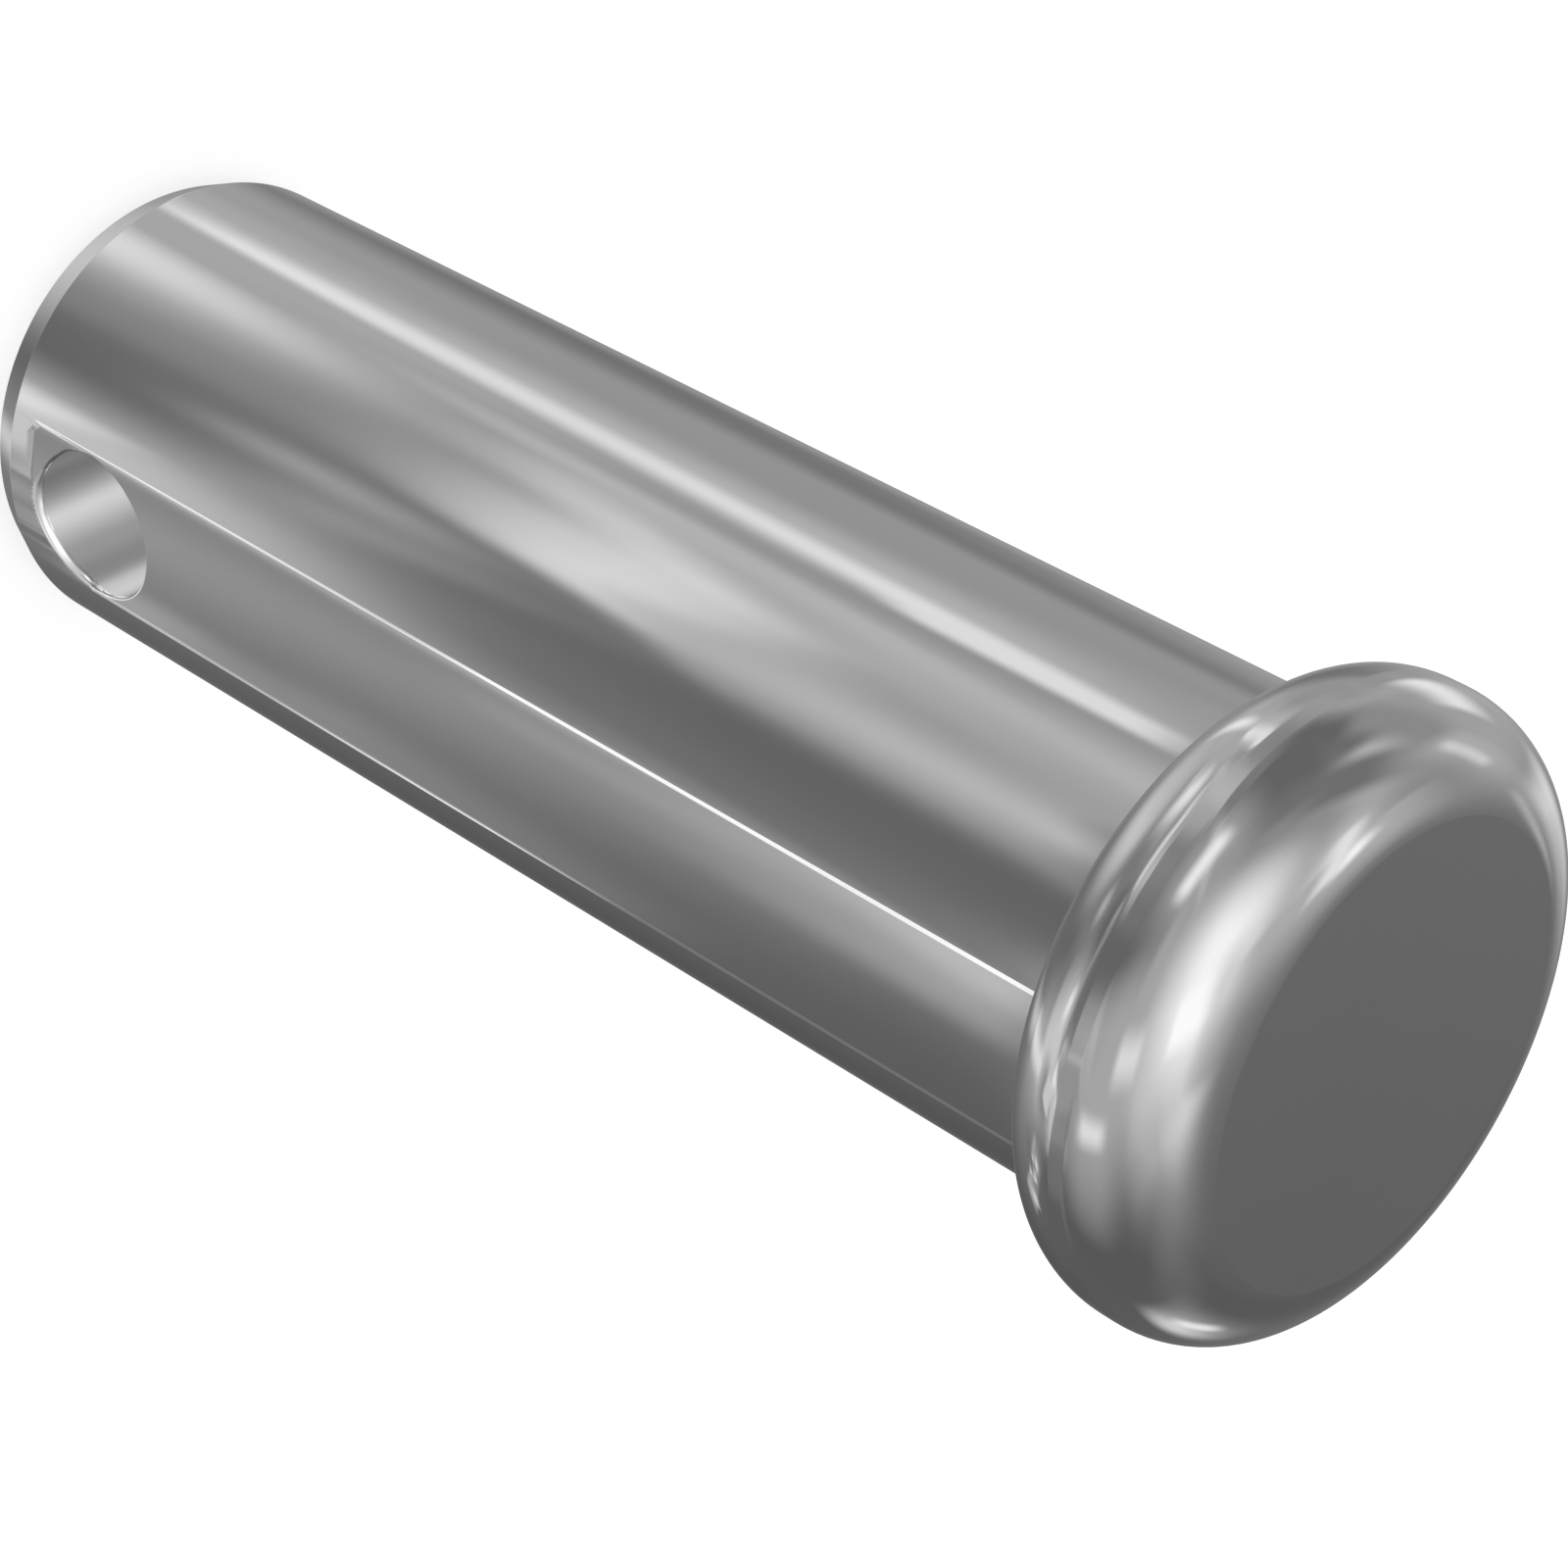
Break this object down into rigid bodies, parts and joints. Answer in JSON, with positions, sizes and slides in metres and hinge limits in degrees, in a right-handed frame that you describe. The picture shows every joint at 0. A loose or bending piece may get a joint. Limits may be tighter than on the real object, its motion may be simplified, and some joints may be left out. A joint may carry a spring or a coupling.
{
  "type": "clevis pin",
  "caption": "Polished steel clevis pin with a full-round head, a shallow milled flat along the shank, a cross hole near the tip and a chamfered end.",
  "frame": {"origin": "centre of the tip's end face, on the pin's axis, which is the plane that the pin stands on", "axes": "+Z along the pin's axis from the tip to the head; -Y out of the milled flat, along the axis of the cross hole; +X completes the right-handed frame"},
  "size_m": [0.0158, 0.0158, 0.0415],
  "materials": {
    "polished_steel": "polished steel, mirror-like with fine turning and drawing marks"
  },
  "bodies": {
    "root": {"clevis_pin": "polished_steel"}
  },
  "joints": []
}
